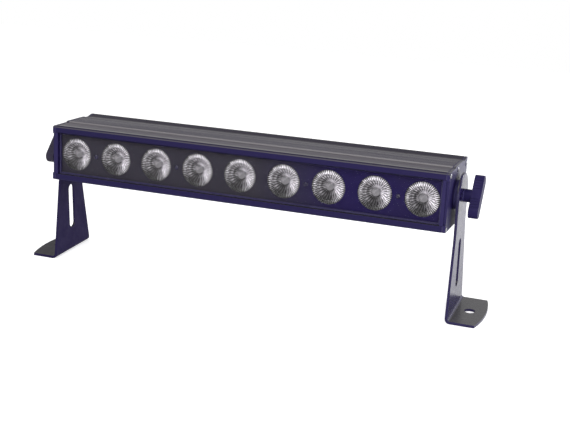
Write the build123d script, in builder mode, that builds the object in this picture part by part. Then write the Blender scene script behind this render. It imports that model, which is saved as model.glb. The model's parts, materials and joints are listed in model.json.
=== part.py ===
from build123d import *
from math import cos, radians, sin
import os

# Outdoor wall washer light: a bar of nine optics that tilts between two legs.
# Millimetres. X runs along the bar, Y to the rear, Z up; the origin is on the floor,
# midway between the holes of the two feet and straight under the pivot axis.

os.makedirs("parts", exist_ok=True)

# Optics
optic_count = 9
optic_pitch = 55.0
lens_diameter = 40.0
lens_flange_width = 1.5
lens_flange_thickness = 1.5
lens_depth = 15.5
lens_heel_diameter = 15.0
lens_pocket_diameter = 8.0
lens_pocket_depth = 4.2
lens_disc_diameter = 11.2
lens_disc_sink = 7.6
lens_valley_diameter = 14.4
lens_valley_sink = 8.6
lens_bowl_diameter = 28.8
lens_bowl_sink = 1.8
lens_rim_diameter = 30.4
lens_rim_sink = 0.6

# Head: outer sizes of the extruded body with its end caps
optic_to_end = 30.0
head_depth = 97.0
face_height = 68.0
head_tilt = 4.1
pivot_height = 142.0
pivot_setback = 48.5
lens_axis_drop = 1.5

# Front window and what lies behind it
lip_height = 7.75
lip_corner_radius = 2.5
window_end_bar = 4.0
glass_setback = 1.5
glass_thickness = 3.0
glass_clearance = 0.3
seal_thickness = 1.0
seal_width = 2.0
ledge_thickness = 1.5
panel_thickness = 2.0
panel_clearance = 0.2
panel_hole_clearance = 0.3
board_thickness = 1.6
board_height = 50.0
board_end_margin = 6.0
tray_height = 52.0
tray_end_margin = 4.0
tray_clearance = 0.3

# Extrusion walls
wall_thickness = 2.5
web_thickness = 3.4
rear_fin_depth = 8.0
rear_fin_gap = 5.0
rear_fin_pitch = 7.5
rear_fin_gap_count = 7
corner_radius = 1.0

# Top of the extrusion, from front to rear
lip_groove_setback = 4.2
lip_groove_width = 1.4
lip_groove_depth = 1.2
band_rise = 0.7
field_setback = 31.5
field_step = 1.3
field_rise = 0.6
field_groove_width = 1.0
field_groove_depth = 0.5
field_groove_pitch = 5.5
valley_width = 11.0
valley_lift = 1.3
rail_slope_run = 8.0
rail_width = 5.0
rail_lift = 3.6
step_run = 0.9

# End caps, gaskets and their screws
cap_thickness = 3.0
cap_notch_depth = 2.0
cap_notch_height = 50.0
gasket_thickness = 1.0
gasket_inset = 0.3
port_hole_diameter = 3.0
port_wall = 2.1
port_inset = 4.2
front_port_setback = 4.6
middle_port_setback = 44.5
middle_port_inset = 5.3
rear_port_setback = 5.5
screw_diameter = 2.9
screw_length = 12.0
screw_head_diameter = 5.6
screw_head_height = 1.3
cap_screw_hole_clearance = 0.2

# Pivot
boss_diameter = 26.0
boss_length = 14.0
bush_diameter = 14.0
stud_diameter = 8.0
stud_clearance = 0.05
stud_chamfer = 0.8
fit_clearance = 0.02
hole_clearance = 0.4
disc_diameter = 34.0
disc_thickness = 5.0
running_gap = 0.1
washer_thickness = 1.5
stud_reach_in = 14.0

# Legs
leg_thickness = 3.0
leg_top_radius = 26.0
leg_shoulder_drop = 48.0
leg_foot_width = 84.0
leg_slot_width = 13.0
leg_slot_length = 59.0
leg_slot_drop = 81.4
foot_reach = 37.0
foot_corner_reach = 31.0
foot_corner_radius = 2.0
foot_hole_diameter = 13.0
foot_hole_reach = 18.0
bend_inner_radius = 3.0

# Knobs
knob_stem_diameter = 15.0
knob_stem_length = 8.0
knob_bar_length = 53.0
knob_bar_width = 16.0
knob_bar_thickness = 11.2
right_knob_angle = 40.0
left_knob_angle = 45.0
knob_edge_radius = 1.2
grip_groove_depth = 0.5
grip_groove_width = 1.2
grip_groove_pitch = 3.4
grip_groove_count = 4
grip_start = 6.5

# Cable gland and breather at the rear
rear_pocket_height = 30.0
gland_to_end = 48.0
vent_to_end = 84.0
gland_thread_diameter = 16.0
gland_across_flats = 20.0
gland_hex_thickness = 5.0
gland_neck_length = 8.0
gland_nut_end_wall = 2.6
gland_cable_diameter = 8.4
gland_seal_wall = 2.2
gland_inner_length = 9.0
locknut_thickness = 3.5
vent_thread_diameter = 12.0
vent_across_flats = 16.0
vent_head_height = 6.0
vent_inner_length = 6.0
vent_slot_width = 1.4
vent_slot_depth = 1.2
vent_hole_diameter = 3.0

# Electronics
emitter_side = 5.0
emitter_base_height = 0.8
emitter_dome_radius = 1.6
emitter_dome_height = 1.3
board_screw_head_diameter = 5.5
board_screw_head_height = 1.8
board_screw_bite = 2.6
driver_length = 168.0
driver_height = 42.0
driver_depth = 30.0
driver_ear_length = 10.0
driver_ear_thickness = 2.5
driver_corner_radius = 3.0
driver_place = -20.0
control_length = 92.0
control_height = 44.0
control_to_end = 115.0
standoff_diameter = 6.0
standoff_height = 6.0
standoff_inset = 5.0
capacitor_diameter = 10.0
capacitor_height = 16.0
capacitor_offset = 28.0
terminal_length = 24.0
terminal_height = 9.0
terminal_depth = 10.0
chip_side = 9.0
chip_height = 1.6
lead_diameter = 3.2
lead_hole_diameter = 7.0
lead_hole_to_end = 22.0
supply_lead_depth = 52.0
led_lead_depth = 40.0
lead_bend_radius = 9.0
solder_gap = 0.3

# Worked out from the sizes above
head_half = optic_pitch * (optic_count - 1) / 2 + optic_to_end
face_half = face_height / 2
window_half = face_half - lip_height
ledge_half = window_half - seal_width
glass_back = glass_setback + glass_thickness
ledge_front = glass_back + seal_thickness
panel_front = ledge_front + ledge_thickness
panel_back = panel_front + panel_thickness
lens_radius = lens_diameter / 2
lens_flange_radius = lens_radius + lens_flange_width
flange_back = panel_back + lens_flange_thickness
lens_back = panel_front + lens_depth
board_front = lens_back + solder_gap
web_front = board_front + board_thickness
web_back = web_front + web_thickness
rear_wall_back = head_depth - rear_fin_depth
rear_wall_front = rear_wall_back - wall_thickness
chamber_half = face_half - wall_thickness
window_bar_inner = head_half - cap_thickness - window_end_bar
extrusion_half = head_half - cap_thickness - gasket_thickness

rail_front = head_depth - rail_width
rail_foot = rail_front - rail_slope_run
valley_front = rail_foot - valley_width
field_back = valley_front - step_run
band_back_height = face_half + band_rise
field_front_height = band_back_height + field_step
field_back_height = field_front_height + field_rise
valley_height = face_half + valley_lift
rail_height = face_half + rail_lift

disc_back = head_half + disc_thickness
leg_inner = disc_back + running_gap
leg_outer = leg_inner + leg_thickness
washer_front = leg_outer + running_gap
stem_front = washer_front + washer_thickness
bar_front = stem_front + knob_stem_length
foot_hole_x = leg_outer + foot_hole_reach
stud_front = head_half - stud_reach_in
stud_back = bar_front + knob_bar_thickness / 2

optic_places = [optic_pitch * (i - (optic_count - 1) / 2) for i in range(optic_count)]
gap_places = [(a + b) / 2 for a, b in zip(optic_places, optic_places[1:])]
# The mask's screws stand in the first, third, sixth and last gaps between optics
panel_screw_places = gap_places[0::7] + gap_places[2:6:3]
board_screw_places = [x for x in gap_places if x not in panel_screw_places]
gland_place = gland_to_end - head_half
vent_place = vent_to_end - head_half
lead_hole_place = lead_hole_to_end - head_half
control_place = head_half - control_to_end
driver_ear_reach = driver_length / 2 + driver_ear_length / 2
driver_screw_places = [driver_place - driver_ear_reach, driver_place + driver_ear_reach]
control_spacing_x = control_length - 2 * standoff_inset
control_spacing_y = control_height - 2 * standoff_inset


def field_height(d):
    """Height of the grooved field's surface at a depth d behind the front face."""
    share = (d - field_setback) / (field_back - field_setback)
    return field_front_height + field_rise * share


front_ports = [
    (front_port_setback, face_half - lip_height / 2),
    (front_port_setback, lip_height / 2 - face_half),
]
middle_port = (middle_port_setback, field_height(middle_port_setback) - middle_port_inset)
rear_ports = [
    (head_depth - rear_port_setback, face_half - port_inset),
    (head_depth - rear_port_setback, port_inset - face_half),
]
ports = front_ports + [middle_port] + rear_ports

# The head's own frame: X along the bar, then the depth behind the front face, then the
# height above the lens axis. It is tilted about the pivot so that the front looks up.
pivot_frame = Plane(origin=(0, 0, pivot_height)).rotated((-head_tilt, 0, 0))
head_origin = pivot_frame.from_local_coords(Vector(0, -pivot_setback, -lens_axis_drop))
head = Plane(origin=head_origin, x_dir=pivot_frame.x_dir, z_dir=pivot_frame.z_dir)
head_axis = Axis(head.origin, head.y_dir)


def section_plane(x):
    """Cross-section of the head at x: sketch x is depth, sketch y is height."""
    return Plane(
        origin=head.from_local_coords(Vector(x, 0, 0)),
        x_dir=head.y_dir,
        z_dir=head.x_dir,
    )


def face_plane(depth):
    """Plane parallel to the front face: sketch x runs along the bar, sketch y down."""
    return Plane(
        origin=head.from_local_coords(Vector(0, depth, 0)),
        x_dir=head.x_dir,
        z_dir=head.y_dir,
    )


def optic_plane(x):
    """Plane through an optic's axis: sketch x is radius, sketch y is depth."""
    return Plane(
        origin=head.from_local_coords(Vector(x, 0, 0)),
        x_dir=head.x_dir,
        z_dir=head.z_dir,
    )


def pivot_plane(x):
    """Plane square to the pivot axis at x: sketch x is to the rear, sketch y is up."""
    return Plane(origin=(x, 0, pivot_height), x_dir=(0, 1, 0), z_dir=(1, 0, 0))


def mirrored(piece):
    """The same piece on the other side of the light."""
    with BuildPart() as twin:
        mirror(piece.part, about=Plane.YZ)
    return twin


# Outline of the extrusion and of its end caps as (depth, height) corners and their radii
outline = [
    (0, -face_half),
    (0, face_half),
    (field_setback, band_back_height),
    (field_setback + step_run, field_front_height),
    (field_back, field_back_height),
    (valley_front, valley_height),
    (rail_foot, valley_height),
    (rail_front, rail_height),
    (head_depth, rail_height),
    (head_depth, -face_half),
]
outline_radii = [lip_corner_radius] * 2 + [0] * 5 + [corner_radius] * 3

pieces = {}

# Housing: one extrusion with screw ports, a heat-sink web, a ledge for the glass and
# fins at the rear, then drilled and milled.
with BuildPart() as housing:
    with BuildSketch(section_plane(-extrusion_half)) as section:
        with BuildLine():
            FilletPolyline(*outline, radius=outline_radii, close=True)
        make_face()
        # Front chamber for the optics, open to the window
        with Locations(((panel_front + web_front) / 2, 0)):
            Rectangle(web_front - panel_front, 2 * chamber_half, mode=Mode.SUBTRACT)
        with Locations((ledge_front / 2, 0)):
            Rectangle(ledge_front, 2 * window_half, mode=Mode.SUBTRACT)
        with Locations((ledge_front + ledge_thickness / 2, 0)):
            Rectangle(ledge_thickness, 2 * ledge_half, mode=Mode.SUBTRACT)
        # Rear chamber for the driver
        with Locations(((web_back + rear_wall_front) / 2, 0)):
            Rectangle(rear_wall_front - web_back, 2 * chamber_half, mode=Mode.SUBTRACT)
        # Grooves: one behind each lip, fine ones across the field, deep ones at the rear
        with Locations((lip_groove_setback, face_half), (lip_groove_setback, -face_half)):
            Rectangle(lip_groove_width, 2 * lip_groove_depth, mode=Mode.SUBTRACT)
        groove_count = int((field_back - field_setback) / field_groove_pitch) - 1
        for i in range(1, groove_count + 1):
            groove = field_setback + step_run + i * field_groove_pitch
            with Locations((groove, field_height(groove))):
                Rectangle(
                    field_groove_width, 2 * field_groove_depth, mode=Mode.SUBTRACT
                )
        with Locations((head_depth - rear_fin_depth / 2, 0)):
            with GridLocations(0, rear_fin_pitch, 1, rear_fin_gap_count):
                Rectangle(rear_fin_depth, rear_fin_gap, mode=Mode.SUBTRACT)
        # Screw ports
        with Locations(middle_port):
            Circle(port_hole_diameter / 2 + port_wall)
        with Locations(ports):
            Circle(port_hole_diameter / 2, mode=Mode.SUBTRACT)
    extrude(amount=2 * extrusion_half)
    # Pocket through the rear fins for the gland and the breather
    with BuildSketch(face_plane(rear_wall_back)) as rear_pocket:
        with Locations(((gland_place + vent_place) / 2, 0)):
            SlotCenterToCenter(vent_place - gland_place, rear_pocket_height)
    extrude(amount=rear_fin_depth, mode=Mode.SUBTRACT)
    with BuildSketch(face_plane(rear_wall_front)) as rear_holes:
        with Locations((gland_place, 0)):
            Circle(gland_thread_diameter / 2 + fit_clearance)
        with Locations((vent_place, 0)):
            Circle(vent_thread_diameter / 2 + fit_clearance)
    extrude(amount=wall_thickness, mode=Mode.SUBTRACT)
    # Tapped holes and the lead hole in the web
    with BuildSketch(face_plane(web_front)) as web_holes:
        with Locations([(x, 0) for x in gap_places + driver_screw_places]):
            Circle(screw_diameter / 2 + fit_clearance)
        with Locations((control_place, 0)):
            with GridLocations(control_spacing_x, control_spacing_y, 2, 2):
                Circle(screw_diameter / 2 + fit_clearance)
        with Locations((lead_hole_place, 0)):
            Circle(lead_hole_diameter / 2)
    extrude(amount=web_thickness, mode=Mode.SUBTRACT)
pieces["housing"] = housing

# End cap: plate, the bar that closes the window's end with its own ledge, pivot boss
with BuildPart() as right_end_cap:
    with BuildSketch(section_plane(head_half - cap_thickness)) as plate:
        with BuildLine():
            FilletPolyline(*outline, radius=outline_radii, close=True)
        make_face()
        Rectangle(2 * cap_notch_depth, cap_notch_height, mode=Mode.SUBTRACT)
    extrude(amount=cap_thickness)
    with BuildSketch(section_plane(window_bar_inner)) as bar:
        with Locations((ledge_front / 2, 0)):
            Rectangle(ledge_front, 2 * (window_half - glass_clearance))
    extrude(amount=window_end_bar)
    with BuildSketch(section_plane(window_bar_inner - seal_width)) as bar_ledge:
        with Locations((ledge_front + ledge_thickness / 2, 0)):
            Rectangle(ledge_thickness, 2 * (ledge_half - glass_clearance))
    extrude(amount=seal_width + window_end_bar)
    with BuildSketch(section_plane(head_half - cap_thickness)) as boss:
        with Locations((pivot_setback, lens_axis_drop)):
            Circle(boss_diameter / 2)
    extrude(amount=-boss_length)
    with BuildSketch(section_plane(head_half)) as bush_seat:
        with Locations((pivot_setback, lens_axis_drop)):
            Circle(bush_diameter / 2 + fit_clearance)
    extrude(amount=-cap_thickness - boss_length, mode=Mode.SUBTRACT)
    with BuildSketch(section_plane(head_half)) as cap_holes:
        with Locations(ports):
            Circle(screw_diameter / 2 + cap_screw_hole_clearance)
    extrude(amount=-cap_thickness, mode=Mode.SUBTRACT)
pieces["right_end_cap"] = right_end_cap
pieces["left_end_cap"] = mirrored(right_end_cap)

# Gasket between the extrusion and the end cap, open at the window
with BuildPart() as right_end_gasket:
    with BuildSketch(section_plane(extrusion_half)) as gasket:
        with BuildLine():
            FilletPolyline(*outline, radius=outline_radii, close=True)
        make_face()
        offset(amount=-gasket_inset)
        with Locations((rear_wall_front / 2, 0)):
            Rectangle(rear_wall_front, 2 * window_half, mode=Mode.SUBTRACT)
        with Locations(ports):
            Circle(screw_diameter / 2 + cap_screw_hole_clearance, mode=Mode.SUBTRACT)
    extrude(amount=gasket_thickness)
pieces["right_end_gasket"] = right_end_gasket
pieces["left_end_gasket"] = mirrored(right_end_gasket)

# Five pan-head screws in each end
with BuildPart() as right_end_screws:
    with BuildSketch(section_plane(head_half)) as heads:
        with Locations(ports):
            Circle(screw_head_diameter / 2)
    extrude(amount=screw_head_height)
    head_tops = right_end_screws.faces().filter_by(Axis.X).sort_by(Axis.X)[-len(ports) :]
    chamfer(head_tops.edges(), screw_head_height / 3)
    with BuildSketch(section_plane(head_half)) as shanks:
        with Locations(ports):
            Circle(screw_diameter / 2)
    extrude(amount=-screw_length)
pieces["right_end_screws"] = right_end_screws
pieces["left_end_screws"] = mirrored(right_end_screws)

# Clear cover and the seal that beds it on the ledge
glass_half_length = window_bar_inner - glass_clearance
glass_half_height = window_half - glass_clearance
with BuildPart() as glass_cover:
    with BuildSketch(face_plane(glass_setback)) as pane:
        Rectangle(2 * glass_half_length, 2 * glass_half_height)
    extrude(amount=glass_thickness)
    chamfer(glass_cover.faces().sort_by(Axis.Y)[0].edges(), glass_clearance)
pieces["glass_cover"] = glass_cover

with BuildPart() as glass_seal:
    with BuildSketch(face_plane(glass_back)) as seal_frame:
        Rectangle(2 * glass_half_length, 2 * glass_half_height)
        Rectangle(
            2 * (glass_half_length - seal_width),
            2 * (glass_half_height - seal_width),
            mode=Mode.SUBTRACT,
        )
    extrude(amount=seal_thickness)
pieces["glass_seal"] = glass_seal

# Mask panel with a round hole for each optic
with BuildPart() as front_panel:
    with BuildSketch(face_plane(panel_front)) as mask:
        Rectangle(2 * (extrusion_half - panel_clearance), 2 * (chamber_half - panel_clearance))
        with Locations([(x, 0) for x in optic_places]):
            Circle(lens_radius + panel_hole_clearance, mode=Mode.SUBTRACT)
        with Locations([(x, 0) for x in panel_screw_places]):
            Circle(screw_diameter / 2 + cap_screw_hole_clearance, mode=Mode.SUBTRACT)
    extrude(amount=panel_thickness)
pieces["front_panel"] = front_panel


def web_screws(places, seat):
    """Screws with heads at a depth, reaching into the web."""
    with BuildPart() as screws:
        with BuildSketch(face_plane(seat - board_screw_head_height)):
            with Locations([(x, 0) for x in places]):
                Circle(board_screw_head_diameter / 2)
        extrude(amount=board_screw_head_height)
        with BuildSketch(face_plane(seat)):
            with Locations([(x, 0) for x in places]):
                Circle(screw_diameter / 2)
        extrude(amount=web_front + board_screw_bite - seat)
    return screws


pieces["panel_screws"] = web_screws(panel_screw_places, panel_front)
pieces["board_screws"] = web_screws(board_screw_places, board_front)


def optic(x):
    """One moulded collimator: bowl in front, flange, cone and a pocket for its emitter."""
    with BuildPart() as lens:
        with BuildSketch(optic_plane(x)) as half_section:
            with BuildLine():
                Polyline(
                    (0, panel_front + lens_disc_sink),
                    (lens_disc_diameter / 2, panel_front + lens_disc_sink),
                    (lens_valley_diameter / 2, panel_front + lens_valley_sink),
                    (lens_bowl_diameter / 2, panel_front + lens_bowl_sink),
                    (lens_rim_diameter / 2, panel_front + lens_rim_sink),
                    (lens_radius, panel_front),
                    (lens_radius, panel_back),
                    (lens_flange_radius, panel_back),
                    (lens_flange_radius, flange_back),
                    (lens_radius - lens_flange_width, flange_back),
                    (lens_heel_diameter / 2, lens_back),
                    (lens_pocket_diameter / 2, lens_back),
                    (lens_pocket_diameter / 2, lens_back - lens_pocket_depth),
                    (0, lens_back - lens_pocket_depth),
                    close=True,
                )
            make_face()
        axis = Axis(head.from_local_coords(Vector(x, 0, 0)), head.y_dir)
        revolve(axis=axis)
    return lens


for i, x in enumerate(optic_places):
    pieces[f"lens_{i + 1}"] = optic(x)

# Tray with a tapered seat for each optic and pockets over the board screws
seat_front_radius = lens_radius - lens_flange_width + tray_clearance
seat_back_radius = lens_heel_diameter / 2 + tray_clearance
tray_half_length = optic_places[-1] + lens_flange_radius + tray_end_margin / 2
with BuildPart() as lens_tray:
    with BuildSketch(face_plane(flange_back)) as tray_front:
        Rectangle(2 * tray_half_length, tray_height)
    extrude(amount=board_front - flange_back)
    with BuildSketch(face_plane(flange_back)) as seat_mouths:
        with Locations([(x, 0) for x in optic_places]):
            Circle(seat_front_radius)
    with BuildSketch(face_plane(board_front)) as seat_heels:
        with Locations([(x, 0) for x in optic_places]):
            Circle(seat_back_radius)
    for mouth, heel in zip(
        seat_mouths.sketch.faces().sort_by(Axis.X), seat_heels.sketch.faces().sort_by(Axis.X)
    ):
        loft([mouth, heel], mode=Mode.SUBTRACT)
    with BuildSketch(face_plane(flange_back)) as tray_holes:
        with Locations([(x, 0) for x in panel_screw_places]):
            Circle(screw_diameter / 2 + cap_screw_hole_clearance)
    extrude(amount=board_front - flange_back, mode=Mode.SUBTRACT)
    with BuildSketch(face_plane(board_front)) as head_pockets:
        with Locations([(x, 0) for x in board_screw_places]):
            Circle(board_screw_head_diameter / 2 + tray_clearance)
    extrude(amount=-board_screw_head_height - tray_clearance, mode=Mode.SUBTRACT)
pieces["lens_tray"] = lens_tray

# Emitter board and the nine emitters
board_half_length = abs(lead_hole_place) + board_end_margin
with BuildPart() as led_board:
    with BuildSketch(face_plane(board_front)) as board:
        Rectangle(2 * board_half_length, board_height)
        with Locations([(x, 0) for x in gap_places]):
            Circle(screw_diameter / 2 + cap_screw_hole_clearance, mode=Mode.SUBTRACT)
    extrude(amount=board_thickness)
pieces["led_board"] = led_board

with BuildPart() as led_emitters:
    with BuildSketch(face_plane(board_front)) as emitter_bases:
        with Locations([(x, 0) for x in optic_places]):
            Rectangle(emitter_side, emitter_side)
    extrude(amount=-emitter_base_height)
    with BuildSketch(face_plane(board_front - emitter_base_height)) as emitter_domes:
        with Locations([(x, 0) for x in optic_places]):
            Circle(emitter_dome_radius)
    extrude(amount=-emitter_dome_height)
    dome_tops = led_emitters.faces().filter_by(head_axis).sort_by(head_axis)[:optic_count]
    chamfer(dome_tops.edges(), emitter_dome_height / 2)
pieces["led_emitters"] = led_emitters

# Driver against the rear of the web, with an ear at each end
with BuildPart() as driver:
    with BuildSketch(face_plane(web_back)) as driver_ears:
        with Locations((driver_place, 0)):
            Rectangle(driver_length + 2 * driver_ear_length, driver_height)
        with Locations([(x, 0) for x in driver_screw_places]):
            Circle(screw_diameter / 2 + cap_screw_hole_clearance, mode=Mode.SUBTRACT)
    extrude(amount=driver_ear_thickness)
    with BuildSketch(face_plane(web_back)) as driver_case:
        with Locations((driver_place, 0)):
            RectangleRounded(driver_length, driver_height, driver_corner_radius)
    extrude(amount=driver_depth)
pieces["driver"] = driver

driver_ear_back = web_back + driver_ear_thickness
with BuildPart() as driver_screws:
    with BuildSketch(face_plane(driver_ear_back)) as driver_screw_heads:
        with Locations([(x, 0) for x in driver_screw_places]):
            Circle(board_screw_head_diameter / 2)
    extrude(amount=board_screw_head_height)
    with BuildSketch(face_plane(driver_ear_back)) as driver_screw_shanks:
        with Locations([(x, 0) for x in driver_screw_places]):
            Circle(screw_diameter / 2)
    extrude(amount=-driver_ear_thickness - board_screw_bite)
pieces["driver_screws"] = driver_screws

# Control board on four snap-in standoffs
control_front = web_back + standoff_height
control_back = control_front + board_thickness
with BuildPart() as control_board:
    with BuildSketch(face_plane(control_front)) as control_outline:
        with Locations((control_place, 0)):
            Rectangle(control_length, control_height)
            with GridLocations(control_spacing_x, control_spacing_y, 2, 2):
                hole_radius = screw_diameter / 2 + cap_screw_hole_clearance
                Circle(hole_radius, mode=Mode.SUBTRACT)
    extrude(amount=board_thickness)
pieces["control_board"] = control_board

with BuildPart() as board_standoffs:
    with BuildSketch(face_plane(web_back)) as pillars:
        with Locations((control_place, 0)):
            with GridLocations(control_spacing_x, control_spacing_y, 2, 2):
                Circle(standoff_diameter / 2)
    extrude(amount=standoff_height)
    with BuildSketch(face_plane(web_back - board_screw_bite)) as pegs:
        with Locations((control_place, 0)):
            with GridLocations(control_spacing_x, control_spacing_y, 2, 2):
                Circle(screw_diameter / 2)
    extrude(amount=board_screw_bite + standoff_height + 2 * board_thickness)
pieces["board_standoffs"] = board_standoffs

with BuildPart() as control_parts:
    with BuildSketch(face_plane(control_back)) as capacitor:
        with Locations((control_place - capacitor_offset, 0)):
            Circle(capacitor_diameter / 2)
    extrude(amount=capacitor_height)
    with BuildSketch(face_plane(control_back)) as terminal_block:
        with Locations((control_place, control_height / 2 - terminal_height)):
            Rectangle(terminal_length, terminal_height)
    extrude(amount=terminal_depth)
    with BuildSketch(face_plane(control_back)) as chip:
        with Locations((control_place, -control_height / 2 + chip_side)):
            Rectangle(chip_side, chip_side)
    extrude(amount=chip_height)
pieces["control_parts"] = control_parts

# Cable gland: body, cap nut, seal and locknut on one axis
gland_flat_radius = gland_across_flats / 2
gland_bore_radius = gland_cable_diameter / 2
gland_seal_radius = gland_bore_radius + gland_seal_wall
gland_hex_back = rear_wall_back + gland_hex_thickness
gland_neck_back = gland_hex_back + gland_neck_length
gland_thread_radius = gland_thread_diameter / 2
with BuildPart() as gland_body:
    with BuildSketch(face_plane(rear_wall_front - gland_inner_length)) as gland_thread:
        with Locations((gland_place, 0)):
            Circle(gland_thread_radius)
    extrude(amount=gland_inner_length + wall_thickness + gland_hex_thickness + gland_neck_length)
    with BuildSketch(face_plane(rear_wall_back)) as gland_hex:
        with Locations((gland_place, 0)):
            RegularPolygon(gland_flat_radius, 6, major_radius=False)
    extrude(amount=gland_hex_thickness)
    with BuildSketch(face_plane(rear_wall_front - gland_inner_length)) as gland_way:
        with Locations((gland_place, 0)):
            Circle(gland_bore_radius + glass_clearance)
    extrude(amount=gland_inner_length + wall_thickness + gland_hex_thickness, mode=Mode.SUBTRACT)
    with BuildSketch(face_plane(gland_hex_back)) as gland_seat:
        with Locations((gland_place, 0)):
            Circle(gland_seal_radius + fit_clearance)
    extrude(amount=gland_neck_length, mode=Mode.SUBTRACT)
pieces["gland_body"] = gland_body

with BuildPart() as gland_seal:
    with BuildSketch(face_plane(gland_hex_back)) as seal_ring:
        with Locations((gland_place, 0)):
            Circle(gland_seal_radius)
            Circle(gland_bore_radius, mode=Mode.SUBTRACT)
    extrude(amount=gland_neck_length)
pieces["gland_seal"] = gland_seal

with BuildPart() as gland_nut:
    with BuildSketch(face_plane(gland_hex_back + glass_clearance)) as nut_hex:
        with Locations((gland_place, 0)):
            RegularPolygon(gland_flat_radius, 6, major_radius=False)
    extrude(amount=gland_neck_length - glass_clearance + gland_nut_end_wall)
    with BuildSketch(face_plane(gland_hex_back)) as nut_thread:
        with Locations((gland_place, 0)):
            Circle(gland_thread_radius + fit_clearance)
    extrude(amount=gland_neck_length, mode=Mode.SUBTRACT)
    with BuildSketch(face_plane(gland_neck_back)) as nut_mouth:
        with Locations((gland_place, 0)):
            Circle(gland_bore_radius + glass_clearance)
    extrude(amount=gland_nut_end_wall, mode=Mode.SUBTRACT)
    chamfer(gland_nut.faces().sort_by(Axis.Y)[-1].outer_wire().edges(), gland_nut_end_wall / 2)
pieces["gland_nut"] = gland_nut


def locknut(place, thread_diameter, across_flats):
    """Hexagon nut inside the housing, tight against the rear wall."""
    with BuildPart() as nut:
        with BuildSketch(face_plane(rear_wall_front)):
            with Locations((place, 0)):
                RegularPolygon(across_flats / 2, 6, major_radius=False)
                Circle(thread_diameter / 2 + fit_clearance, mode=Mode.SUBTRACT)
        extrude(amount=-locknut_thickness)
    return nut


pieces["gland_locknut"] = locknut(gland_place, gland_thread_diameter, gland_across_flats)
pieces["vent_locknut"] = locknut(vent_place, vent_thread_diameter, vent_across_flats)

# Breather: hexagon cap with two slots over a narrow vent hole
with BuildPart() as breather_vent:
    with BuildSketch(face_plane(rear_wall_front - vent_inner_length)) as vent_thread:
        with Locations((vent_place, 0)):
            Circle(vent_thread_diameter / 2)
            Circle(vent_hole_diameter / 2, mode=Mode.SUBTRACT)
    extrude(amount=vent_inner_length + wall_thickness)
    with BuildSketch(face_plane(rear_wall_back)) as vent_cap:
        with Locations((vent_place, 0)):
            RegularPolygon(vent_across_flats / 2, 6, major_radius=False)
    extrude(amount=vent_head_height)
    with BuildSketch(face_plane(rear_wall_back + vent_head_height)) as vent_slots:
        with Locations((vent_place, 0)):
            Rectangle(2 * vent_across_flats, vent_slot_width)
            Rectangle(vent_slot_width, 2 * vent_across_flats)
    extrude(amount=-vent_slot_depth, mode=Mode.SUBTRACT)
pieces["breather_vent"] = breather_vent


def lead(points):
    """A round lead along straight runs joined by one bend; points are (x, depth)."""
    path_points = [head.from_local_coords(Vector(x, depth, 0)) for x, depth in points]
    with BuildPart() as wire:
        with BuildLine():
            FilletPolyline(*path_points, radius=lead_bend_radius)
        start = path_points[0]
        with BuildSketch(Plane(origin=start, z_dir=path_points[1] - start)):
            Circle(lead_diameter / 2)
        sweep()
    return wire


driver_end = driver_place - driver_length / 2
pieces["supply_lead"] = lead(
    [
        (driver_end, supply_lead_depth),
        (gland_place, supply_lead_depth),
        (gland_place, rear_wall_front - gland_inner_length / 2),
    ]
)
pieces["led_lead"] = lead(
    [
        (driver_end, led_lead_depth),
        (lead_hole_place, led_lead_depth),
        (lead_hole_place, web_front),
    ]
)

# Pivot: threaded bush in the end cap, friction disc, stud and washer on one axis
with BuildPart() as right_pivot_bush:
    with BuildSketch(pivot_plane(head_half - cap_thickness - boss_length)) as bush_ring:
        Circle(bush_diameter / 2)
        Circle(stud_diameter / 2 + stud_clearance, mode=Mode.SUBTRACT)
    extrude(amount=boss_length + cap_thickness)
pieces["right_pivot_bush"] = right_pivot_bush
pieces["left_pivot_bush"] = mirrored(right_pivot_bush)

with BuildPart() as right_friction_disc:
    with BuildSketch(pivot_plane(head_half)) as disc_ring:
        Circle(disc_diameter / 2)
        Circle(stud_diameter / 2 + hole_clearance, mode=Mode.SUBTRACT)
    extrude(amount=disc_thickness)
pieces["right_friction_disc"] = right_friction_disc
pieces["left_friction_disc"] = mirrored(right_friction_disc)

with BuildPart() as right_stud:
    with BuildSketch(pivot_plane(stud_front)) as stud_circle:
        Circle(stud_diameter / 2)
    extrude(amount=stud_back - stud_front)
    chamfer(right_stud.faces().sort_by(Axis.X)[0].edges(), stud_chamfer)
pieces["right_stud"] = right_stud
pieces["left_stud"] = mirrored(right_stud)

with BuildPart() as right_washer:
    with BuildSketch(pivot_plane(washer_front)) as washer_ring:
        Circle(knob_stem_diameter / 2)
        Circle(stud_diameter / 2 + fit_clearance, mode=Mode.SUBTRACT)
    extrude(amount=washer_thickness)
pieces["right_washer"] = right_washer
pieces["left_washer"] = mirrored(right_washer)

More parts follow.
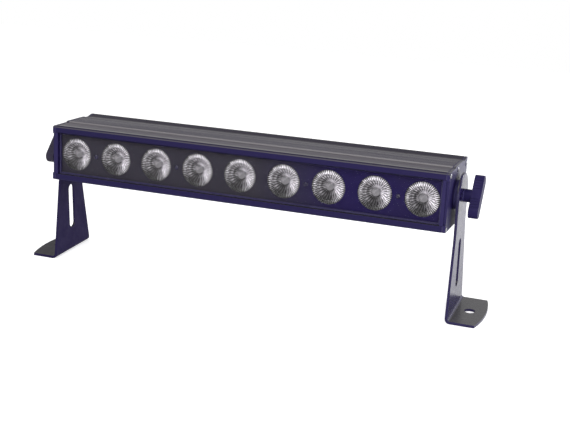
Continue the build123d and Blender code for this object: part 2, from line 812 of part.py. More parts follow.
# Leg: a strip bent outward into a foot, cut to a tapered outline with a round top
foot_tip = leg_outer + foot_reach
shoulder_height = pivot_height - leg_shoulder_drop
with BuildPart() as right_bracket:
    with BuildSketch(Plane.XZ) as strip:
        with BuildLine():
            FilletPolyline(
                (leg_inner, 0),
                (foot_tip, 0),
                (foot_tip, leg_thickness),
                (leg_outer, leg_thickness),
                (leg_outer, pivot_height + leg_top_radius),
                (leg_inner, pivot_height + leg_top_radius),
                radius=[bend_inner_radius + leg_thickness, 0, 0, bend_inner_radius, 0, 0],
                close=True,
            )
        make_face()
    extrude(amount=leg_foot_width, both=True)
    with BuildSketch(Plane.YZ) as side_outline:
        with BuildLine():
            Polyline(
                (-leg_top_radius, pivot_height),
                (-leg_top_radius, shoulder_height),
                (-leg_foot_width / 2, 0),
                (leg_foot_width / 2, 0),
                (leg_top_radius, shoulder_height),
                (leg_top_radius, pivot_height),
            )
            ThreePointArc(
                (leg_top_radius, pivot_height),
                (0, pivot_height + leg_top_radius),
                (-leg_top_radius, pivot_height),
            )
        make_face()
    extrude(amount=foot_tip, mode=Mode.INTERSECT)
    with BuildSketch(Plane.XY) as plan_outline:
        with BuildLine():
            Polyline(
                (leg_outer + foot_corner_reach, -leg_foot_width / 2),
                (leg_inner, -leg_foot_width / 2),
                (leg_inner, leg_foot_width / 2),
                (leg_outer + foot_corner_reach, leg_foot_width / 2),
            )
            ThreePointArc(
                (leg_outer + foot_corner_reach, leg_foot_width / 2),
                (foot_tip, 0),
                (leg_outer + foot_corner_reach, -leg_foot_width / 2),
            )
        make_face()
    extrude(amount=pivot_height + leg_top_radius, mode=Mode.INTERSECT)
    with BuildSketch(pivot_plane(leg_inner)) as leg_holes:
        Circle(stud_diameter / 2 + hole_clearance)
        with Locations((0, -leg_slot_drop)):
            SlotOverall(leg_slot_length, leg_slot_width, rotation=90)
    extrude(amount=leg_thickness, mode=Mode.SUBTRACT)
    with BuildSketch(Plane.XY) as foot_hole:
        with Locations((foot_hole_x, 0)):
            Circle(foot_hole_diameter / 2)
    extrude(amount=leg_thickness, mode=Mode.SUBTRACT)
    foot_corners = right_bracket.edges().filter_by(Axis.Z).sort_by(Axis.X)[-2:]
    fillet(foot_corners, foot_corner_radius)
pieces["right_bracket"] = right_bracket
pieces["left_bracket"] = mirrored(right_bracket)



def knob(bar_angle):
    """Stem and cross bar with rounded ends and grip grooves; the bar leans to the rear."""
    bar_plane = Plane(
        origin=(bar_front, 0, pivot_height),
        x_dir=(0, sin(radians(bar_angle)), cos(radians(bar_angle))),
        z_dir=(1, 0, 0),
    )
    with BuildPart() as grip:
        with BuildSketch(bar_plane):
            SlotOverall(knob_bar_length, knob_bar_width)
        extrude(amount=knob_bar_thickness)
        fillet(grip.edges().group_by(Axis.X)[-1], knob_edge_radius)
        with BuildSketch(pivot_plane(stem_front)):
            Circle(knob_stem_diameter / 2)
        extrude(amount=knob_stem_length)
        with BuildSketch(bar_plane):
            for i in range(grip_groove_count):
                along = grip_start + i * grip_groove_pitch
                with GridLocations(2 * along, knob_bar_width, 2, 2):
                    Rectangle(grip_groove_width, 2 * grip_groove_depth)
        extrude(amount=knob_bar_thickness, mode=Mode.SUBTRACT)
        with BuildSketch(pivot_plane(stem_front)):
            Circle(stud_diameter / 2 + fit_clearance)
        extrude(amount=stud_back - stem_front, mode=Mode.SUBTRACT)
    return grip


pieces["right_knob"] = knob(right_knob_angle)
pieces["left_knob"] = mirrored(knob(left_knob_angle))

for name, piece in pieces.items():
    piece.part.label = name
    export_step(piece.part, f"parts/{name}.step")
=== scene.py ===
import json
import math
import bmesh
import bpy
from mathutils import Matrix, Vector


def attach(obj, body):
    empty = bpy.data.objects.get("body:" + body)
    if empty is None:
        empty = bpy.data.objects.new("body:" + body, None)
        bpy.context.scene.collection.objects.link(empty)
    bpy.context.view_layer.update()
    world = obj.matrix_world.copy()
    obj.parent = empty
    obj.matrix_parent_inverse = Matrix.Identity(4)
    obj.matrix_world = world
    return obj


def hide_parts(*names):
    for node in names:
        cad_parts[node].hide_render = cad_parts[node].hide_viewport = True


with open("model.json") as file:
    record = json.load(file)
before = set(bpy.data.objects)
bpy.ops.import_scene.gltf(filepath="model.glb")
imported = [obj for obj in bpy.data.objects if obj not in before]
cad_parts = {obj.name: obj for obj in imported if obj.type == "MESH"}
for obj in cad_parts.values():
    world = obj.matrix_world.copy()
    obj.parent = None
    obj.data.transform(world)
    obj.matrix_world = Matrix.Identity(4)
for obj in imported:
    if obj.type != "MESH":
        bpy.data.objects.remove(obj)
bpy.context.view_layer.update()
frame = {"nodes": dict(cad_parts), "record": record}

nodes = frame["nodes"]

# The head's own frame: x along the bar, depth behind the front face, height over the lens axis
tilt = math.radians(4.1)
pivotPoint = Vector((0, 0, 0.142))
headRear = Vector((0, math.cos(tilt), -math.sin(tilt)))
headUp = Vector((0, math.sin(tilt), math.cos(tilt)))
pivotSetback = 0.0485
pivotLift = 0.0015


def headPoint(x, depth, height):
    return pivotPoint + Vector((x, 0, 0)) + headRear * (depth - pivotSetback) + headUp * (height - pivotLift)


# Material nodes. Most of a noise lies between the two values of noiseSpan
noiseSpan = (0.3, 0.7)


def newMaterial(name):
    mat = bpy.data.materials.new(name)
    mat.use_nodes = True
    tree = mat.node_tree
    tree.nodes.clear()
    out = tree.nodes.new("ShaderNodeOutputMaterial")
    shader = tree.nodes.new("ShaderNodeBsdfPrincipled")
    tree.links.new(shader.outputs["BSDF"], out.inputs["Surface"])
    return mat, tree, shader


def addNoise(tree, scale, detail, stretch=(1, 1, 1)):
    coords = tree.nodes.new("ShaderNodeTexCoord")
    mapping = tree.nodes.new("ShaderNodeMapping")
    mapping.inputs["Scale"].default_value = stretch
    noise = tree.nodes.new("ShaderNodeTexNoise")
    noise.inputs["Scale"].default_value = scale
    noise.inputs["Detail"].default_value = detail
    tree.links.new(coords.outputs["Object"], mapping.inputs["Vector"])
    tree.links.new(mapping.outputs["Vector"], noise.inputs["Vector"])
    return noise.outputs["Fac"]


def addRamp(tree, source, low, high, fromPos=0.35, toPos=0.65):
    ramp = tree.nodes.new("ShaderNodeValToRGB")
    ramp.color_ramp.elements[0].position = fromPos
    ramp.color_ramp.elements[1].position = toPos
    ramp.color_ramp.elements[0].color = (*low, 1)
    ramp.color_ramp.elements[1].color = (*high, 1)
    tree.links.new(source, ramp.inputs["Fac"])
    return ramp.outputs["Color"]


# A ramp through rows of (place, shade or colour), over reach from start
def addStops(tree, source, stops, start, reach):
    ramp = tree.nodes.new("ShaderNodeValToRGB")
    points = ramp.color_ramp.elements
    while len(points) < len(stops):
        points.new(1.0)
    for point, (place, shade) in zip(points, stops):
        point.position = (place - start) / reach
        point.color = (*shade, 1) if isinstance(shade, tuple) else (shade, shade, shade, 1)
    tree.links.new(source, ramp.inputs["Fac"])
    return ramp.outputs["Color"]


def addRange(tree, source, low, high):
    node = tree.nodes.new("ShaderNodeMapRange")
    node.inputs["From Min"].default_value = noiseSpan[0]
    node.inputs["From Max"].default_value = noiseSpan[1]
    node.inputs["To Min"].default_value = low
    node.inputs["To Max"].default_value = high
    tree.links.new(source, node.inputs["Value"])
    return node.outputs["Result"]


def addMath(tree, operation, *values):
    node = tree.nodes.new("ShaderNodeMath")
    node.operation = operation
    for slot, value in zip(node.inputs, values):
        if isinstance(value, (int, float)):
            slot.default_value = value
        else:
            tree.links.new(value, slot)
    return node.outputs["Value"]


# The factor and the two colours are inputs 0, 6 and 7 of this node, and its colour is output 2
def addMix(tree, blend, factor, first, second):
    node = tree.nodes.new("ShaderNodeMix")
    node.data_type = "RGBA"
    node.blend_type = blend
    for slot, value in zip((node.inputs[0], node.inputs[6], node.inputs[7]), (factor, first, second)):
        if isinstance(value, (int, float, tuple)):
            slot.default_value = value
        else:
            tree.links.new(value, slot)
    return node.outputs[2]


def addVector(tree, operation, first, second=None):
    node = tree.nodes.new("ShaderNodeVectorMath")
    node.operation = operation
    tree.links.new(first, node.inputs[0])
    if second:
        node.inputs[1].default_value = second
    return node


def addBump(tree, shader, source, strength, distance):
    bump = tree.nodes.new("ShaderNodeBump")
    bump.inputs["Strength"].default_value = strength
    bump.inputs["Distance"].default_value = distance
    tree.links.new(source, bump.inputs["Height"])
    tree.links.new(bump.outputs["Normal"], shader.inputs["Normal"])


# Depth behind the front face, as a share of the ramps' reach in mm
depthReach = 100.0


def addDepth(tree, coords):
    along = addVector(tree, "DOT_PRODUCT", coords.outputs["Object"], tuple(headRear)).outputs["Value"]
    perMetre = 1000 / depthReach
    front = pivotSetback - pivotPoint.dot(headRear)
    return addMath(tree, "MULTIPLY_ADD", along, perMetre, perMetre * front)


# Painted light: faces that look up are painted greyer than the rest, as if lit from above, and a turn from
# the front face upward gets a painted highlight along its edge.
# A tint is one colour, or a row of colours at depths in mm behind the front face
paintedLightLooks = {"paintedTopLight": {"slant": 0.0, "sharp": (0.90, 0.97)}, "shine": {"slant": 55.0, "sharp": (0.90, 0.98)}}


def paintEdgeLight(tree, shader, edge):
    coords = tree.nodes.new("ShaderNodeTexCoord")
    depth = addDepth(tree, coords)
    colour = shader.inputs["Base Color"].links[0].from_socket
    for part, look in paintedLightLooks.items():
        lean = tilt - math.radians(look["slant"])
        facing = addVector(tree, "DOT_PRODUCT", coords.outputs["Normal"], (0, math.sin(lean), math.cos(lean)))
        mask = addRamp(tree, facing.outputs["Value"], (0, 0, 0), (1, 1, 1), *look["sharp"])
        tint = edge[part]
        tint = addStops(tree, depth, tint, 0, depthReach) if isinstance(tint[0], tuple) else (*tint, 1)
        # Mix in the painted light or highlight where its mask picks the faces out
        colour = addMix(tree, "MIX", mask, colour, tint)
    tree.links.new(colour, shader.inputs["Base Color"])
    if "matt" in edge:
        matt = addStops(tree, depth, edge["matt"], 0, depthReach)
        gloss = shader.inputs["Roughness"].links[0].from_socket
        tree.links.new(addMath(tree, "MAXIMUM", gloss, matt), shader.inputs["Roughness"])


# Painted light: the coat takes on another, greyer tint toward the bar's left end, at a rate per metre
def paintLightAcross(tree, shader, across):
    coords = tree.nodes.new("ShaderNodeTexCoord")
    along = addVector(tree, "DOT_PRODUCT", coords.outputs["Object"], (-1, 0, 0)).outputs["Value"]
    share = addRange(tree, addMath(tree, "MULTIPLY_ADD", along, across["rate"], across["middle"]), 0.0, 1.0)
    colour = shader.inputs["Base Color"].links[0].from_socket
    tree.links.new(addMix(tree, "MIX", share, colour, (*across["tint"], 1)), shader.inputs["Base Color"])


# A coat: two close colours in patches, a fine grain in the surface and an uneven gloss
coatDefaults = {
    "stretch": (1, 1, 1), "patchScale": 60, "patchDetail": 5, "glossScale": 220, "glossDetail": 3,
    "grainScale": 2600, "grainDetail": 2, "grain": 0.25, "grainDepth": 0.00006,
    "metallic": 0.0, "specular": 0.5, "refraction": 1.5, "alpha": 1.0,
}


def coatMaterial(name, own):
    spec = {**coatDefaults, **own}
    mat, tree, shader = newMaterial(name)
    patches = addNoise(tree, spec["patchScale"], spec["patchDetail"], spec["stretch"])
    tree.links.new(addRamp(tree, patches, spec["dark"], spec["light"]), shader.inputs["Base Color"])
    gloss = addNoise(tree, spec["glossScale"], spec["glossDetail"], spec["stretch"])
    tree.links.new(addRange(tree, gloss, *spec["roughness"]), shader.inputs["Roughness"])
    grain = addNoise(tree, spec["grainScale"], spec["grainDetail"], spec["stretch"])
    addBump(tree, shader, grain, spec["grain"], spec["grainDepth"])
    shader.inputs["Metallic"].default_value = spec["metallic"]
    shader.inputs["Specular IOR Level"].default_value = spec["specular"]
    shader.inputs["IOR"].default_value = spec["refraction"]
    shader.inputs["Alpha"].default_value = spec["alpha"]
    # Painted light on upward faces and turned edges, and a painted lighter tint toward the left end, where a
    # coat asks for them
    if "edge" in spec:
        paintEdgeLight(tree, shader, spec["edge"])
    if "across" in spec:
        paintLightAcross(tree, shader, spec["across"])
    return mat


coats = {
    "housing_coat": {
        "dark": (0.0070, 0.0040, 0.040), "light": (0.0100, 0.0062, 0.048), "roughness": (0.34, 0.44),
        "specular": 0.15, "stretch": (0.02, 1, 1), "grainScale": 1500, "grain": 0.35,
        "edge": {
            # Painted light and shade by depth: light bands for edge highlights and dark bands for shaded
            # grooves on the upward faces, then a painted highlight along the turned edges
            "paintedTopLight": (
                (0, (0.026, 0.023, 0.034)), (3.4, (0.026, 0.023, 0.034)), (3.6, (0.003, 0.003, 0.006)),
                (4.6, (0.003, 0.003, 0.006)), (4.8, (0.095, 0.090, 0.096)), (9, (0.070, 0.066, 0.072)),
                (12, (0.014, 0.008, 0.021)), (27, (0.014, 0.008, 0.021)), (28, (0.062, 0.055, 0.064)),
                (31.4, (0.062, 0.055, 0.064)), (32, (0.012, 0.007, 0.019)), (56, (0.012, 0.007, 0.019)),
                (57.5, (0.045, 0.040, 0.048)), (62, (0.045, 0.040, 0.048)), (63.5, (0.010, 0.006, 0.016)),
                (72, (0.010, 0.006, 0.016)), (83, (0.015, 0.0115, 0.018)),
            ),
            "shine": ((0, (0.058, 0.053, 0.068)), (6, (0.058, 0.053, 0.068)), (7, (0.18, 0.17, 0.18))),
            "matt": ((0, 0.0), (0.3, 0.0), (0.5, 1.0), (4.7, 1.0), (4.8, 0.0), (83, 0.0), (86, 0.55)),
        },
    },
    "end_cap_coat": {
        "dark": (0.010, 0.006, 0.052), "light": (0.014, 0.009, 0.062), "roughness": (0.36, 0.46),
        # Painted light: greyer upward faces and a painted highlight on turned edges
        "specular": 0.2, "edge": {"paintedTopLight": (0.016, 0.014, 0.026), "shine": (0.05, 0.046, 0.056)},
    },
    "leg_coat": {
        "dark": (0.009, 0.005, 0.046), "light": (0.013, 0.008, 0.054), "roughness": (0.22, 0.32),
        # Painted light: greyer upward faces and a painted highlight on turned edges
        "specular": 0.22, "edge": {"paintedTopLight": (0.034, 0.032, 0.037), "shine": (0.03, 0.027, 0.036)},
    },
    # Painted shade: a copy of leg_coat with less gloss and a greyer colour, for the left bracket
    "leg_coat_shaded": {
        "dark": (0.013, 0.009, 0.042), "light": (0.020, 0.015, 0.052), "roughness": (0.55, 0.68),
        "specular": 0.06, "edge": {"paintedTopLight": (0.052, 0.050, 0.056), "shine": (0.04, 0.037, 0.046)},
    },
    "knob_plastic": {
        "dark": (0.011, 0.0075, 0.050), "light": (0.016, 0.011, 0.060), "roughness": (0.42, 0.55),
        "specular": 0.08,
    },
    # Painted shade: a copy of knob_plastic with less gloss and a greyer colour, for the left knob
    "knob_plastic_shaded": {
        "dark": (0.032, 0.028, 0.048), "light": (0.042, 0.038, 0.058), "roughness": (0.5, 0.6),
        "specular": 0.06,
    },
    "screw_black": {
        "dark": (0.012, 0.009, 0.036), "light": (0.018, 0.014, 0.046), "roughness": (0.22, 0.32),
        "specular": 0.4,
    },
    "zinc_steel": {
        "dark": (0.35, 0.36, 0.38), "light": (0.55, 0.56, 0.58), "roughness": (0.22, 0.36), "metallic": 1.0,
    },
    "dark_steel": {
        "dark": (0.16, 0.16, 0.18), "light": (0.30, 0.30, 0.32), "roughness": (0.22, 0.36), "metallic": 1.0,
    },
    "mask_coat": {
        "dark": (0.0105, 0.0060, 0.050), "light": (0.016, 0.011, 0.046), "roughness": (0.5, 0.62),
        "specular": 0.1,
        "patchScale": 9, "grain": 0.02,
        # Painted light: a greyer tint toward the bar's left end
        "across": {"tint": (0.030, 0.027, 0.038), "rate": 4.0, "middle": 0.78},
    },
    "clear_cover": {
        "dark": (0.010, 0.011, 0.013), "light": (0.016, 0.017, 0.019), "roughness": (0.2, 0.3),
        "specular": 0.0, "grain": 0.02, "alpha": 0.02,
    },
    "seal_rubber": {
        "dark": (0.030, 0.025, 0.075), "light": (0.040, 0.034, 0.090), "roughness": (0.6, 0.75),
        "specular": 0.25,
    },
    "disc_plastic": {
        "dark": (0.026, 0.019, 0.100), "light": (0.033, 0.025, 0.120), "roughness": (0.45, 0.6),
        "specular": 0.3,
    },
    "bush_brass": {
        "dark": (0.5, 0.36, 0.14), "light": (0.65, 0.48, 0.2), "roughness": (0.2, 0.35), "metallic": 1.0,
    },
    "tray_plastic": {"dark": (0.012, 0.012, 0.013), "light": (0.02, 0.02, 0.022), "roughness": (0.5, 0.65)},
    "board_laminate": {"dark": (0.62, 0.63, 0.6), "light": (0.72, 0.73, 0.7), "roughness": (0.3, 0.42)},
    "emitter_resin": {"dark": (0.75, 0.5, 0.06), "light": (0.85, 0.62, 0.12), "roughness": (0.12, 0.22)},
    "driver_case": {
        "dark": (0.5, 0.5, 0.52), "light": (0.62, 0.62, 0.64), "roughness": (0.3, 0.42), "metallic": 1.0,
    },
    "component_plastic": {
        "dark": (0.015, 0.02, 0.018), "light": (0.03, 0.035, 0.03), "roughness": (0.4, 0.55),
    },
    "gland_nylon": {
        "dark": (0.010, 0.009, 0.016), "light": (0.016, 0.015, 0.022), "roughness": (0.4, 0.52),
        "specular": 0.35,
    },
    "lead_sheath": {"dark": (0.012, 0.012, 0.014), "light": (0.02, 0.02, 0.022), "roughness": (0.45, 0.6)},
}

# Optics: local x and y span the lens face. The fluted bowl throws light to one side, and its colour paints
# that light and shade: it goes by the angle from the bar's right, in degrees, and by the radius, in mm, with
# rings of its own on the shaded side, plus painted glints in patches
opticPaintedLook = {
    "reach": 20.0, "bowl": 14.4, "disc": 5.0, "foot": 6.4, "shadeSide": 150,
    "ribs": 50, "beads": 25, "beadPitch": 2.8, "beadDepth": 0.68, "beadRows": (0.3, 0.7),
    "fluteGain": 0.4, "fluteShades": (0.05, 1.95), "discShades": (0.162, 0.198),
    "swirl": (150, 3), "angleDrift": 0.3, "ringDrift": 0.2, "paintedGlints": (420, 2), "paintedGlintShades": (0.6, 1.4),
    "tint": (1.0, 0.955, 1.03, 1), "roughness": (0.18, 0.30), "metallic": 0.3, "specular": 0.3,
    "coat": 0.1, "coatRoughness": 0.05,
    "angles": ((-180, 0.21), (-150, 0.11), (-120, 0.045), (-90, 0.06), (-62, 0.30), (-35, 0.92), (0, 0.61),
               (30, 0.49), (60, 0.59), (90, 0.56), (120, 0.31), (150, 0.16), (180, 0.21)),
    "rings": ((4.9, 0.25), (5.8, 0.45), (7.0, 0.8), (8.4, 1.07), (10.0, 1.13), (11.5, 1.10), (13.0, 1.0),
              (14.3, 1.02), (14.7, 0.66), (15.3, 0.64), (16.0, 0.62), (17.5, 0.60), (18.4, 0.48),
              (19.0, 0.30), (20.0, 0.16)),
    "shadeSideRings": ((4.9, 0.30), (5.6, 0.75), (7.0, 1.0), (7.9, 1.0), (9.0, 0.46), (10.2, 0.48), (11.5, 1.5),
                 (12.9, 0.70), (14.2, 1.0), (14.7, 0.8), (16.1, 1.05), (17.5, 0.85), (18.4, 0.6),
                 (19.0, 0.36), (20.0, 0.18)),
}


def paintedLightOpticMaterial(name, look):
    mat, tree, shader = newMaterial(name)
    coords = tree.nodes.new("ShaderNodeTexCoord")
    flat = addVector(tree, "MULTIPLY", coords.outputs["Object"], (1, 1, 0)).outputs["Vector"]
    length = addVector(tree, "LENGTH", flat).outputs["Value"]
    share = addMath(tree, "MULTIPLY", length, 1000 / look["reach"])
    turn = tree.nodes.new("ShaderNodeTexGradient")
    turn.gradient_type = "RADIAL"
    tree.links.new(flat, turn.inputs["Vector"])
    radians = addMath(tree, "MULTIPLY", turn.outputs["Fac"], 2 * math.pi)

    # Painted light and shade by angle and by radius, both a little adrift, then painted glints in patches
    swirl = addNoise(tree, *look["swirl"])
    drift = addMath(tree, "ADD", swirl, -0.5)
    angle = addMath(tree, "MULTIPLY_ADD", drift, look["angleDrift"], turn.outputs["Fac"])
    shade = addStops(tree, angle, look["angles"], -180, 360)
    shadeSide = addMath(tree, "COSINE", addMath(tree, "ADD", radians, math.radians(180 - look["shadeSide"])))
    shadeSide = addMath(tree, "MULTIPLY_ADD", shadeSide, 0.5, 0.5)
    radius = addMath(tree, "MULTIPLY_ADD", drift, look["ringDrift"], share)
    rings = addStops(tree, radius, look["rings"], 0, look["reach"])
    shadeSideRings = addStops(tree, radius, look["shadeSideRings"], 0, look["reach"])
    shade = addMix(tree, "MULTIPLY", 1.0, shade, addMix(tree, "MIX", shadeSide, rings, shadeSideRings))
    paintedGlints = addRange(tree, addNoise(tree, *look["paintedGlints"]), *look["paintedGlintShades"])
    shade = addMix(tree, "MULTIPLY", 1.0, shade, paintedGlints)

    # Painted ribs round the rim, painted rows of bright beads in the bowl, and a plain grey disc at its foot,
    # all painted light and shade on the clear optic
    outside = addMath(tree, "GREATER_THAN", share, look["bowl"] / look["reach"])
    ribs = addMath(tree, "SINE", addMath(tree, "MULTIPLY", radians, look["ribs"]))
    beads = addMath(tree, "SINE", addMath(tree, "MULTIPLY", radians, look["beads"]))
    rows = addMath(tree, "SINE", addMath(tree, "MULTIPLY", length, 2000 * math.pi / look["beadPitch"]))
    beads = addMath(tree, "MULTIPLY", beads, addMath(tree, "MULTIPLY_ADD", rows, *look["beadRows"]))
    flutes = addMath(tree, "MULTIPLY_ADD", addMix(tree, "MIX", outside, beads, ribs), look["fluteGain"], 0.5)
    fluted = addMath(tree, "MULTIPLY", addMath(tree, "GREATER_THAN", share, look["foot"] / look["reach"]),
                     addMath(tree, "MAXIMUM", outside, look["beadDepth"]))
    shade = addMix(tree, "MULTIPLY", fluted, shade, addRange(tree, flutes, *look["fluteShades"]))
    onDisc = addMath(tree, "LESS_THAN", share, look["disc"] / look["reach"])
    shade = addMix(tree, "MIX", onDisc, shade, addRange(tree, swirl, *look["discShades"]))
    shade = addMix(tree, "MULTIPLY", 1.0, shade, look["tint"])
    tree.links.new(shade, shader.inputs["Base Color"])
    tree.links.new(addRange(tree, swirl, *look["roughness"]), shader.inputs["Roughness"])
    shader.inputs["Metallic"].default_value = look["metallic"]
    shader.inputs["Specular IOR Level"].default_value = look["specular"]
    shader.inputs["Coat Weight"].default_value = look["coat"]
    shader.inputs["Coat Roughness"].default_value = look["coatRoughness"]
    return mat


materials = {name: coatMaterial(name, spec) for name, spec in coats.items()}
# The optics' colour is painted light and shade
materials["lens_clear"] = paintedLightOpticMaterial("lens_clear", opticPaintedLook)
# The left bracket and knob take copies of the right ones' coats with less gloss and a greyer colour, painted
# shade for their darker reflections
overrides = {"left_bracket": "leg_coat_shaded", "left_knob": "knob_plastic_shaded"}
slotOf = {entry["node"]: entry["material_slot"] for entry in frame["record"]["subparts"]}
for nodeName, node in nodes.items():
    node.data.materials.clear()
    node.data.materials.append(materials[overrides.get(nodeName, slotOf[nodeName])])
print("materials done")


def addPiece(name, verts, faces, slotName, body, replaced, smooth=True, place=Matrix.Identity(4), coat=None):
    mesh = bpy.data.meshes.new(name)
    mesh.from_pydata(verts, [], faces)
    mesh.update()
    work = bmesh.new()
    work.from_mesh(mesh)
    bmesh.ops.recalc_face_normals(work, faces=work.faces)
    work.to_mesh(mesh)
    work.free()
    mesh.materials.append(materials[coat or slotName])
    for polygon in mesh.polygons:
        polygon.use_smooth = smooth
    piece = bpy.data.objects.new(name, mesh)
    bpy.context.scene.collection.objects.link(piece)
    piece.matrix_world = place
    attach(piece, body)
    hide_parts(*replaced)


# Faces between rings of vertices. A ring of one vertex is a pole
def ringFaces(rings):
    faces = []
    for inner, outer in zip(rings, rings[1:]):
        columns = max(len(inner), len(outer))
        for c in range(columns):
            n = (c + 1) % columns
            if len(inner) == 1:
                faces.append((inner[0], outer[c], outer[n]))
            elif len(outer) == 1:
                faces.append((inner[c], outer[0], inner[n]))
            else:
                faces.append((inner[c], outer[c], outer[n], inner[n]))
    return faces


# Optics: fluted rim, fluted bowl and a smooth disc at its foot, then the cone behind.
# A row is a radius, a depth behind the mask's face and a rib height, all in mm
opticPlan = {
    "pitch": 0.055, "count": 9, "front": 0.007, "turn": 3.0,
    "bowl": 14.4, "ribs": 50, "perRib": 6, "lean": 0.35,
    "rows": (
        (0.0, 4.6, 0), (2.0, 4.65, 0), (3.8, 4.75, 0), (4.6, 4.9, 0), (5.0, 5.3, 0), (5.15, 7.9, 0),
        (5.8, 8.4, 0), (6.8, 8.6, 0), (7.5, 8.3, 0.12), (8.4, 7.55, 0.42), (9.4, 6.6, 0.5),
        (10.4, 5.7, 0.52), (11.4, 4.75, 0.52), (12.4, 3.8, 0.5), (13.4, 2.85, 0.45), (14.2, 2.1, 0.2),
        (14.5, 1.8, 0), (15.0, 1.75, 0), (15.2, 1.1, 0), (15.5, 0.75, 0.25), (16.4, 0.62, 0.45),
        (17.4, 0.52, 0.5), (18.4, 0.42, 0.5), (19.2, 0.32, 0.35), (19.7, 0.2, 0.1), (19.95, 0.12, 0),
        (20.0, 0.3, 0), (20.0, 2.0, 0), (21.5, 2.0, 0), (21.5, 3.5, 0), (18.5, 3.5, 0), (13.4, 9.0, 0),
        (7.5, 15.5, 0), (4.0, 15.5, 0), (4.0, 11.3, 0), (0.0, 11.3, 0),
    ),
}


def makeOptic(plan, index):
    columns = plan["ribs"] * plan["perRib"]
    verts = []
    rings = []
    for radius, sink, rib in plan["rows"]:
        if radius == 0:
            rings.append([len(verts)])
            verts.append(Vector((0, 0, -sink / 1000)))
            continue
        rings.append(list(range(len(verts), len(verts) + columns)))
        period = plan["perRib"] * (2 if radius < plan["bowl"] else 1)
        for c in range(columns):
            angle = 2 * math.pi * c / columns
            wave = abs((c % period) / period - 0.5) * 2
            r = (radius - rib * plan["lean"] * wave) / 1000
            verts.append(Vector((r * math.cos(angle), r * math.sin(angle), -(sink + rib * wave) / 1000)))
    offset = index - (plan["count"] + 1) // 2
    facing = Matrix((Vector((1, 0, 0)), headUp, -headRear)).transposed().to_4x4()
    spin = Matrix.Rotation(math.radians(plan["turn"] * offset), 4, "Z")
    place = Matrix.Translation(headPoint(plan["pitch"] * offset, plan["front"], 0)) @ facing @ spin
    faces = ringFaces(rings)
    name = "optic_%d" % index
    addPiece(name, verts, faces, "lens_clear", "head", ["lens_%d" % index], smooth=False, place=place)


for index in range(1, opticPlan["count"] + 1):
    makeOptic(opticPlan, index)
print("optics done")


# Screw heads: a low dome with a crossed recess, on a plain shank. What isn't a count is a share of the
# head's radius or of its height
screwHead = {
    "columns": 48, "rows": (0.0, 0.08, 0.14, 0.2, 0.28, 0.36, 0.44, 0.5, 0.56, 0.64, 0.78, 0.9, 0.97, 1.0),
    "dome": 0.94, "brim": 0.25, "crossReach": 0.56, "crossHalf": 0.13, "crossDepth": 0.55,
}


def screwMesh(verts, faces, place, outward, side, plan):
    up = outward.cross(side)
    columns = screwHead["columns"]
    radius, height = plan["radius"], plan["height"]
    shankRadius, shankLength = plan["shank"]
    crossReach = screwHead["crossReach"] * radius
    crossHalf = screwHead["crossHalf"] * radius
    rows = []
    for share in screwHead["rows"]:
        dome = math.sqrt(1 - (share * screwHead["dome"]) ** 2) if share < 1 else screwHead["brim"]
        rows.append((share * radius, dome * height))
    rows += [(radius, 0.0), (shankRadius, 0.0), (shankRadius, -shankLength)]
    rings = []
    for reach, lift in rows:
        ring = []
        for c in range(columns if reach else 1):
            angle = 2 * math.pi * c / columns
            u = reach * math.cos(angle)
            v = reach * math.sin(angle)
            near, far = sorted((abs(u), abs(v)))
            inCross = lift > 0 and far < crossReach and near < crossHalf
            sink = screwHead["crossDepth"] * height if inCross else 0.0
            ring.append(len(verts))
            verts.append(place + side * u + up * v + outward * (lift - sink))
        rings.append(ring)
    faces.extend(ringFaces(rings))
    faces.append(tuple(rings[-1]))


# Each screw of a set has its recess turned a step further, from the along direction toward the head's up
def makeScrews(plan, places, outward, along, name, nodeName, coat=None):
    verts, faces = [], []
    for i, place in enumerate(places):
        turn = plan["turn"] + plan["turnStep"] * i
        screwMesh(verts, faces, place, outward, along * math.cos(turn) + headUp * math.sin(turn), plan)
    addPiece(name, verts, faces, "dark_steel", "head", [nodeName], coat=coat)


panelScrewPlan = {
    "along": (-0.1925, -0.0825, 0.0825, 0.1925), "seat": 0.007,
    "radius": 0.00275, "height": 0.0018, "shank": (0.00145, 0.018), "turn": 0.5, "turnStep": 1.0,
}
panelPlaces = [headPoint(x, panelScrewPlan["seat"], 0) for x in panelScrewPlan["along"]]
barAxis = Vector((1, 0, 0))
makeScrews(panelScrewPlan, panelPlaces, -headRear, barAxis, "panel_screw_set", "panel_screws", "screw_black")

# Places are depths and heights on the end cap
endScrewPlan = {
    "places": (
        (0.0046, 0.030125), (0.0046, -0.030125), (0.0445, 0.0309), (0.0915, 0.0298), (0.0915, -0.0298),
    ),
    "face": 0.25, "radius": 0.0028, "height": 0.0013, "shank": (0.00145, 0.012),
    "turn": 0.4, "turnStep": 1.3,
}
for sign, nodeName in ((1, "right_end_screws"), (-1, "left_end_screws")):
    face = sign * endScrewPlan["face"]
    endPlaces = [headPoint(face, depth, height) for depth, height in endScrewPlan["places"]]
    makeScrews(endScrewPlan, endPlaces, barAxis * sign, headRear, nodeName + "_set", nodeName)
print("screws done")

# Soft edges on the sheet metal and moulded pieces
softEdge = {
    "width": 0.0002, "segments": 2, "angle": 50,
    "pieces": ("left_bracket", "right_bracket", "gland_nut", "gland_body"),
}
for nodeName in softEdge["pieces"]:
    bevel = nodes[nodeName].modifiers.new("soft_edges", "BEVEL")
    bevel.width = softEdge["width"]
    bevel.segments = softEdge["segments"]
    bevel.limit_method = "ANGLE"
    bevel.angle_limit = math.radians(softEdge["angle"])
    bevel.harden_normals = True

# Camera at the photograph's place: angles in degrees, roll in radians, focus and width in pixels
photoView = {
    "azimuth": 20.10, "elevation": 17.74, "roll": 0.0283, "place": (0.47272, -1.1745, 0.48994),
    "focus": 1081.05, "width": 570.0, "sensor": 36.0, "near": 0.02,
}


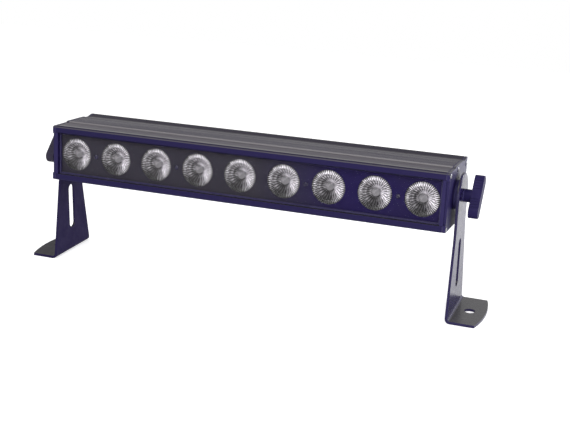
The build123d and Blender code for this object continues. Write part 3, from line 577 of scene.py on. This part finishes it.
def makeCamera(view):
    az = math.radians(view["azimuth"])
    el = math.radians(view["elevation"])
    back = Vector((math.sin(az) * math.cos(el), -math.cos(az) * math.cos(el), math.sin(el)))
    right = Vector((math.cos(az), math.sin(az), 0))
    up = back.cross(right)
    rolledRight = right * math.cos(view["roll"]) + up * math.sin(view["roll"])
    rolledUp = up * math.cos(view["roll"]) - right * math.sin(view["roll"])
    turn = Matrix((rolledRight, rolledUp, back)).transposed().to_4x4()
    data = bpy.data.cameras.new("camera")
    data.sensor_width = view["sensor"]
    data.lens = view["focus"] * view["sensor"] / view["width"]
    data.clip_start = view["near"]
    camera = bpy.data.objects.new("camera", data)
    camera.matrix_world = Matrix.Translation(view["place"]) @ turn
    bpy.context.scene.collection.objects.link(camera)
    bpy.context.scene.camera = camera


makeCamera(photoView)

lamps = {
    "key_softbox": {"place": (-0.25, -1.35, 1.75), "aim": (0, 0, 0.1), "size": (1.4, 1.0), "power": 25},
    "front_softbox": {"place": (0.85, -1.35, 0.4), "aim": (0, 0, 0.12), "size": (1.2, 0.7), "power": 9},
    "side_softbox": {"place": (0.95, 0.75, 0.45), "aim": (0.28, 0, 0.13), "size": (0.5, 0.4), "power": 7.5},
}


def makeLamp(name, lamp):
    data = bpy.data.lights.new(name, "AREA")
    data.shape = "RECTANGLE"
    data.size, data.size_y = lamp["size"]
    data.energy = lamp["power"]
    light = bpy.data.objects.new(name, data)
    light.location = lamp["place"]
    light.rotation_euler = (Vector(lamp["aim"]) - Vector(lamp["place"])).to_track_quat("-Z", "Y").to_euler()
    bpy.context.scene.collection.objects.link(light)


for name, lamp in lamps.items():
    makeLamp(name, lamp)


# 1 for what the camera, a mirror or clear glass shows, 0 for what only lights the object
def shownRay(tree):
    ray = tree.nodes.new("ShaderNodeLightPath")
    seen = addMath(tree, "MAXIMUM", ray.outputs["Is Camera Ray"], ray.outputs["Is Glossy Ray"])
    return addMath(tree, "MAXIMUM", seen, ray.outputs["Is Transmission Ray"])


# The room is white to look at, and lights the object at half that strength
worldPlan = {"lighting": 0.5, "shown": 0.5}


def makeWorld(plan):
    world = bpy.data.worlds.new("studio")
    world.use_nodes = True
    tree = world.node_tree
    tree.nodes.clear()
    out = tree.nodes.new("ShaderNodeOutputWorld")
    back = tree.nodes.new("ShaderNodeBackground")
    back.inputs["Color"].default_value = (1, 1, 1, 1)
    strength = addMath(tree, "MULTIPLY_ADD", shownRay(tree), plan["shown"], plan["lighting"])
    tree.links.new(strength, back.inputs["Strength"])
    tree.links.new(back.outputs["Background"], out.inputs["Surface"])
    bpy.context.scene.world = world


makeWorld(worldPlan)
bpy.context.scene.view_settings.view_transform = "Standard"

floorPlan = {
    "reach": 1.7, "drop": 0.0002, "noise": (14, 4), "low": (0.84, 0.84, 0.84), "high": (0.87, 0.87, 0.87),
    "roughness": (0.8, 0.9), "specular": 0.1, "shown": 0.55,
}


def makeFloor(plan):
    reach = plan["reach"]
    corners = [(-reach, -reach, 0), (reach, -reach, 0), (reach, reach, 0), (-reach, reach, 0)]
    mesh = bpy.data.meshes.new("studio_floor")
    mesh.from_pydata(corners, [], [(0, 1, 2, 3)])
    mat, tree, shader = newMaterial("studio_floor")
    tone = addNoise(tree, *plan["noise"])
    tree.links.new(addRamp(tree, tone, plan["low"], plan["high"]), shader.inputs["Base Color"])
    tree.links.new(addRange(tree, tone, *plan["roughness"]), shader.inputs["Roughness"])
    shader.inputs["Specular IOR Level"].default_value = plan["specular"]
    shader.inputs["Emission Color"].default_value = (1, 1, 1, 1)
    glow = addMath(tree, "MULTIPLY", shownRay(tree), plan["shown"])
    tree.links.new(glow, shader.inputs["Emission Strength"])
    mesh.materials.append(mat)
    floor = bpy.data.objects.new("studio_floor", mesh)
    floor.location.z = -plan["drop"]
    bpy.context.scene.collection.objects.link(floor)


makeFloor(floorPlan)
print("stage done")
